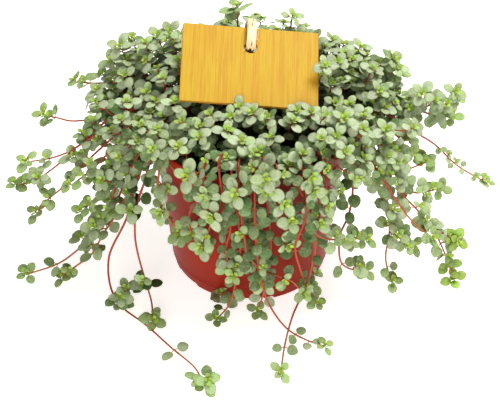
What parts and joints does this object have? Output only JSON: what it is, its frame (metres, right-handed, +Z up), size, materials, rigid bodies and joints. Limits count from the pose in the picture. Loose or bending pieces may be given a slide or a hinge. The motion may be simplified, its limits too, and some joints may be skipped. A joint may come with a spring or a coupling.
{
  "type": "potted trailing pilea house plant",
  "caption": "Trailing pilea house plant in a tapered plastic grower's pot, with a domed crown, arching and hanging leafy shoots, and a blank wooden card tied to a stake.",
  "frame": {"origin": "centre of the pot's flat underside, on the surface it stands on", "axes": "+Z up, -Y towards the front, which the card faces, +X to the right seen from the front"},
  "size_m": [0.3359, 0.2567, 0.1694],
  "materials": {
    "pot_plastic": "satin moulded polypropylene, terracotta red",
    "potting_soil": "damp crumbly peat",
    "leaf": "silvery grey-green leaf, soft sheen",
    "stem": "smooth red-brown stem",
    "card_wood": "planed pine, unvarnished",
    "raffia": "dry fibrous palm strip",
    "bamboo": "smooth split cane"
  },
  "bodies": {
    "root": {"pot": "pot_plastic", "soil": "potting_soil", "label_card": "card_wood", "label_tie": "raffia", "label_stake": "bamboo", "left_shoot_1": "leaf", "left_shoot_2": "leaf", "left_shoot_3": "leaf", "left_shoot_4": "leaf", "left_shoot_5": "leaf", "left_shoot_6": "leaf", "left_shoot_7": "leaf", "left_shoot_8": "leaf", "left_shoot_9": "leaf", "left_shoot_10": "leaf", "left_shoot_11": "leaf", "left_shoot_12": "leaf", "front_shoot_1": "leaf", "front_shoot_2": "leaf", "front_shoot_3": "leaf", "front_shoot_4": "leaf", "front_shoot_5": "leaf", "front_shoot_6": "leaf", "front_shoot_7": "leaf", "front_shoot_8": "leaf", "front_shoot_9": "leaf", "front_shoot_10": "leaf", "front_shoot_11": "leaf", "right_shoot_1": "leaf", "right_shoot_2": "leaf", "right_shoot_3": "leaf", "right_shoot_4": "leaf", "right_shoot_5": "leaf", "right_shoot_6": "leaf", "right_shoot_7": "leaf", "right_shoot_8": "leaf", "right_shoot_9": "leaf", "right_shoot_10": "leaf", "right_shoot_11": "leaf", "right_shoot_12": "leaf", "rear_shoot_1": "leaf", "rear_shoot_2": "leaf", "rear_shoot_3": "leaf", "rear_shoot_4": "leaf", "rear_shoot_5": "leaf", "rear_shoot_6": "leaf", "top_shoot_1": "leaf", "top_shoot_2": "leaf", "crown_branch_1": "leaf", "crown_branch_2": "leaf", "crown_branch_3": "leaf", "crown_branch_4": "leaf", "crown_branch_5": "leaf", "crown_branch_6": "leaf", "crown_branch_7": "leaf", "crown_branch_8": "leaf", "crown_branch_9": "leaf", "crown_branch_10": "leaf", "crown_branch_11": "leaf"}
  },
  "joints": []
}
